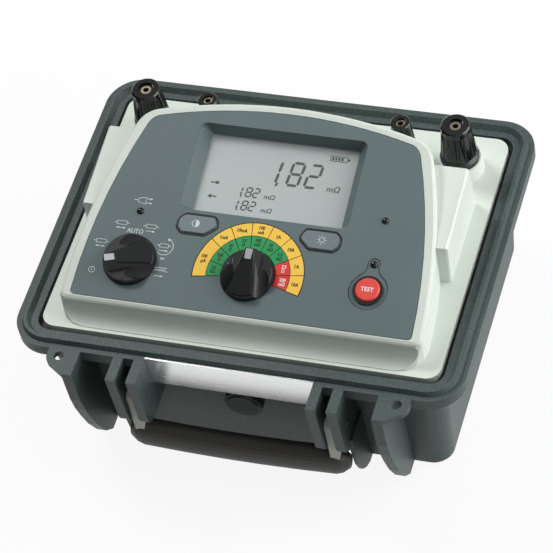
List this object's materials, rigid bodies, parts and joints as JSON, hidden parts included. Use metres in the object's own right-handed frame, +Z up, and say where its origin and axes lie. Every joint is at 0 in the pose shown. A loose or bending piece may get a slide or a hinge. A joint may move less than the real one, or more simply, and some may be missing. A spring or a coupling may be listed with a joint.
{
  "type": "micro ohmmeter",
  "caption": "Micro ohmmeter in the open lower half of a rugged carrying case, with sloping console, display, rotary switches, keys, screw terminals and a swinging handle.",
  "frame": {"origin": "centre of the rim in plan, on the ground under the case", "axes": "+Z up, +X to the right and -Y to the front, as seen by the person who uses it"},
  "size_m": [0.315, 0.2725, 0.1612],
  "materials": {
    "case": "finely textured moulding",
    "seal": "soft",
    "bare_metal": "brushed",
    "black_plastic": "satin",
    "steel": "plated",
    "arm_plastic": "smooth",
    "grip_rubber": "soft touch",
    "console": "semi-gloss",
    "fascia": "printed film",
    "window": "clear",
    "display": "matt",
    "circuit_board": "varnished",
    "white_plastic": "satin",
    "red_plastic": "satin",
    "lamp": "polished",
    "brass": "plated",
    "battery": "shrink film over cells",
    "transformer": "varnished laminations"
  },
  "bodies": {
    "case": {"base_case": "case", "deck_seal": "seal", "front_plate": "bare_metal", "valve_body": "black_plastic", "handle_pins": "steel", "deck_moulding": "console", "fascia_panel": "fascia", "display_frame": "fascia", "display_window": "window", "display_module": "display", "display_board": "circuit_board", "switch_board": "circuit_board", "mode_switch": "black_plastic", "range_switch": "black_plastic", "test_ring": "black_plastic", "test_switch": "black_plastic", "key_switches": "black_plastic", "mains_lamp": "lamp", "contact_lamp": "lamp", "test_lamp": "lamp", "current_base_left": "black_plastic", "current_stud_left": "brass", "current_base_right": "black_plastic", "current_stud_right": "brass", "potential_base_left": "black_plastic", "potential_stud_left": "brass", "potential_base_right": "black_plastic", "potential_stud_right": "brass", "terminal_nuts": "steel", "main_board": "circuit_board", "board_standoffs": "brass", "battery_pack": "battery", "battery_strap": "steel", "transformer": "transformer", "heat_sink": "bare_metal", "current_shunt": "brass", "fuse_holder": "black_plastic"},
    "handle": {"handle_arms": "arm_plastic", "handle_grip": "grip_rubber"},
    "mode_selector": {"mode_knob": "black_plastic", "mode_pointer": "white_plastic", "mode_shaft": "steel"},
    "range_selector": {"range_knob": "black_plastic", "range_pointer": "white_plastic", "range_shaft": "steel"},
    "test_key": {"test_button": "red_plastic"},
    "contrast_key": {"contrast_button": "fascia"},
    "backlight_key": {"backlight_button": "fascia"},
    "relief_valve": {"valve_knob": "black_plastic"},
    "current_clamp_left": {"current_washer_left": "steel"},
    "current_nut_left": {"current_cap_left": "black_plastic"},
    "current_clamp_right": {"current_washer_right": "steel"},
    "current_nut_right": {"current_cap_right": "black_plastic"},
    "potential_clamp_left": {"potential_washer_left": "steel"},
    "potential_nut_left": {"potential_cap_left": "black_plastic"},
    "potential_clamp_right": {"potential_washer_right": "steel"},
    "potential_nut_right": {"potential_cap_right": "black_plastic"}
  },
  "joints": [
    {"name": "handle_swing", "type": "hinge", "parent": "case", "child": "handle", "pos_m": [0, -0.1295, 0.0735], "axis": [-1, 0, 0], "range_deg": [0, 100]},
    {"name": "mode_turn", "type": "hinge", "parent": "case", "child": "mode_selector", "pos_m": [-0.0838, -0.05951, 0.1297], "axis": [0, -0.2521, 0.9677], "range_deg": [-225, 0]},
    {"name": "range_turn", "type": "hinge", "parent": "case", "child": "range_selector", "pos_m": [0, -0.05951, 0.1297], "axis": [0, -0.2521, 0.9677], "range_deg": [-90.4, 90.4]},
    {"name": "test_press", "type": "slide", "parent": "case", "child": "test_key", "axis": [0, 0.2521, -0.9677], "range_m": [0, 0.0012], "stiffness_N_per_m": 900, "springref_m": -0.001},
    {"name": "contrast_press", "type": "slide", "parent": "case", "child": "contrast_key", "axis": [0, 0.2521, -0.9677], "range_m": [0, 0.0006], "stiffness_N_per_m": 900, "springref_m": -0.001},
    {"name": "backlight_press", "type": "slide", "parent": "case", "child": "backlight_key", "axis": [0, 0.2521, -0.9677], "range_m": [0, 0.0006], "stiffness_N_per_m": 900, "springref_m": -0.001},
    {"name": "valve_turn", "type": "hinge", "parent": "case", "child": "relief_valve", "pos_m": [0, -0.10428, 0.0545], "axis": [0, -0.9984, -0.0558], "range_deg": [0, 270]},
    {"name": "current_left_lift", "type": "slide", "parent": "case", "child": "current_clamp_left", "axis": [0, 0, 1], "range_m": [0, 0.005]},
    {"name": "current_left_turn", "type": "hinge", "parent": "current_clamp_left", "child": "current_nut_left", "pos_m": [-0.1117, 0.0753, 0.116], "axis": [0, 0, 1], "range_deg": [0, 1440]},
    {"name": "current_right_lift", "type": "slide", "parent": "case", "child": "current_clamp_right", "axis": [0, 0, 1], "range_m": [0, 0.005]},
    {"name": "current_right_turn", "type": "hinge", "parent": "current_clamp_right", "child": "current_nut_right", "pos_m": [0.1117, 0.0753, 0.116], "axis": [0, 0, 1], "range_deg": [0, 1440]},
    {"name": "potential_left_lift", "type": "slide", "parent": "case", "child": "potential_clamp_left", "axis": [0, 0, 1], "range_m": [0, 0.005]},
    {"name": "potential_left_turn", "type": "hinge", "parent": "potential_clamp_left", "child": "potential_nut_left", "pos_m": [-0.0699, 0.082, 0.112], "axis": [0, 0, 1], "range_deg": [0, 1440]},
    {"name": "potential_right_lift", "type": "slide", "parent": "case", "child": "potential_clamp_right", "axis": [0, 0, 1], "range_m": [0, 0.005]},
    {"name": "potential_right_turn", "type": "hinge", "parent": "potential_clamp_right", "child": "potential_nut_right", "pos_m": [0.0699, 0.082, 0.112], "axis": [0, 0, 1], "range_deg": [0, 1440]}
  ],
  "couplings": [
    {"joint": "current_left_turn", "follows": "current_left_lift", "rad_per_m": 5026.5},
    {"joint": "current_right_turn", "follows": "current_right_lift", "rad_per_m": 5026.5},
    {"joint": "potential_left_turn", "follows": "potential_left_lift", "rad_per_m": 5026.5},
    {"joint": "potential_right_turn", "follows": "potential_right_lift", "rad_per_m": 5026.5}
  ]
}
